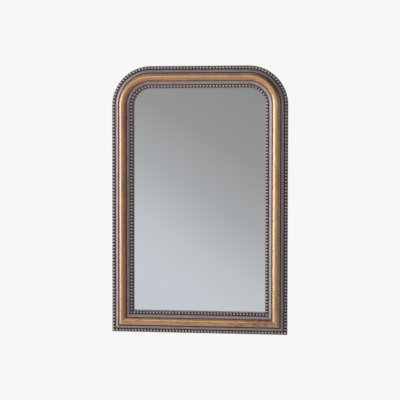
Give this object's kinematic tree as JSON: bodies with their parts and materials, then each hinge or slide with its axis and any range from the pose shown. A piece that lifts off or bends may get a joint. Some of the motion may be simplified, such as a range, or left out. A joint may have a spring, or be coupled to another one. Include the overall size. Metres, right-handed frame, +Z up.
{
  "type": "arched wall mirror",
  "caption": "Wall mirror in an antique gilt moulding with rounded top corners and a row of beads along each edge; turn buttons hold its back and ring hangers carry it.",
  "frame": {"origin": "point of the wall plane midway between the two hooks, level with the place where they bear on the rings", "axes": "+Z up along the mirror's height, +X to the viewer's right, +Y into the wall, so the mirror faces -Y"},
  "size_m": [0.6, 0.0445, 0.91],
  "materials": {
    "gilded_moulding": "antique gold leaf rubbed through to red-brown on the round, pewter-grey wash on the fillets",
    "bead_strip": "pewter-grey wash with dark gaps between the beads",
    "joint_wood": "bare beech, glued in",
    "silvered_glass": "clear float glass silvered on its back",
    "hardboard": "bare brown hardboard, 6 mm thick",
    "rubber": "matt black rubber",
    "button_steel": "zinc-plated sheet steel",
    "screw_steel": "zinc-plated steel",
    "hanger_steel": "zinc-plated steel"
  },
  "bodies": {
    "root": {"left_stile": "gilded_moulding", "right_stile": "gilded_moulding", "bottom_rail": "gilded_moulding", "arched_head": "gilded_moulding", "outer_bead_left": "bead_strip", "outer_bead_right": "bead_strip", "outer_bead_top": "bead_strip", "outer_bead_bottom": "bead_strip", "outer_bead_left_arc": "bead_strip", "outer_bead_right_arc": "bead_strip", "inner_bead_left": "bead_strip", "inner_bead_right": "bead_strip", "inner_bead_top": "bead_strip", "inner_bead_bottom": "bead_strip", "inner_bead_left_arc": "bead_strip", "inner_bead_right_arc": "bead_strip", "stile_tongues": "joint_wood", "mitre_keys": "joint_wood", "mirror_glass": "silvered_glass", "backing_board": "hardboard", "setting_blocks": "rubber", "turn_button_screws": "screw_steel", "hanger_strap_left": "hanger_steel", "hanger_strap_right": "hanger_steel", "hanger_screws": "screw_steel", "wall_bumpers": "rubber"},
    "turn_button_1": {"turn_button_1": "button_steel"},
    "turn_button_2": {"turn_button_2": "button_steel"},
    "turn_button_3": {"turn_button_3": "button_steel"},
    "turn_button_4": {"turn_button_4": "button_steel"},
    "turn_button_5": {"turn_button_5": "button_steel"},
    "turn_button_6": {"turn_button_6": "button_steel"},
    "d_ring_left": {"d_ring_left": "hanger_steel"},
    "d_ring_right": {"d_ring_right": "hanger_steel"}
  },
  "joints": [
    {"name": "turn_button_1_pivot", "type": "hinge", "parent": "root", "child": "turn_button_1", "pos_m": [-0.2395, -0.0057, -0.49], "axis": [0, 1, 0], "continuous": true},
    {"name": "turn_button_2_pivot", "type": "hinge", "parent": "root", "child": "turn_button_2", "pos_m": [-0.2395, -0.0057, -0.13], "axis": [0, 1, 0], "continuous": true},
    {"name": "turn_button_3_pivot", "type": "hinge", "parent": "root", "child": "turn_button_3", "pos_m": [0.2395, -0.0057, -0.49], "axis": [0, 1, 0], "continuous": true},
    {"name": "turn_button_4_pivot", "type": "hinge", "parent": "root", "child": "turn_button_4", "pos_m": [0.2395, -0.0057, -0.13], "axis": [0, 1, 0], "continuous": true},
    {"name": "turn_button_5_pivot", "type": "hinge", "parent": "root", "child": "turn_button_5", "pos_m": [0, -0.0057, 0.1295], "axis": [0, 1, 0], "continuous": true},
    {"name": "turn_button_6_pivot", "type": "hinge", "parent": "root", "child": "turn_button_6", "pos_m": [0, -0.0057, -0.6595], "axis": [0, 1, 0], "continuous": true},
    {"name": "d_ring_left_swing", "type": "hinge", "parent": "root", "child": "d_ring_left", "pos_m": [-0.266, -0.0035, -0.0145], "axis": [-1, 0, 0], "range_deg": [0, 175]},
    {"name": "d_ring_right_swing", "type": "hinge", "parent": "root", "child": "d_ring_right", "pos_m": [0.266, -0.0035, -0.0145], "axis": [-1, 0, 0], "range_deg": [0, 175]}
  ]
}
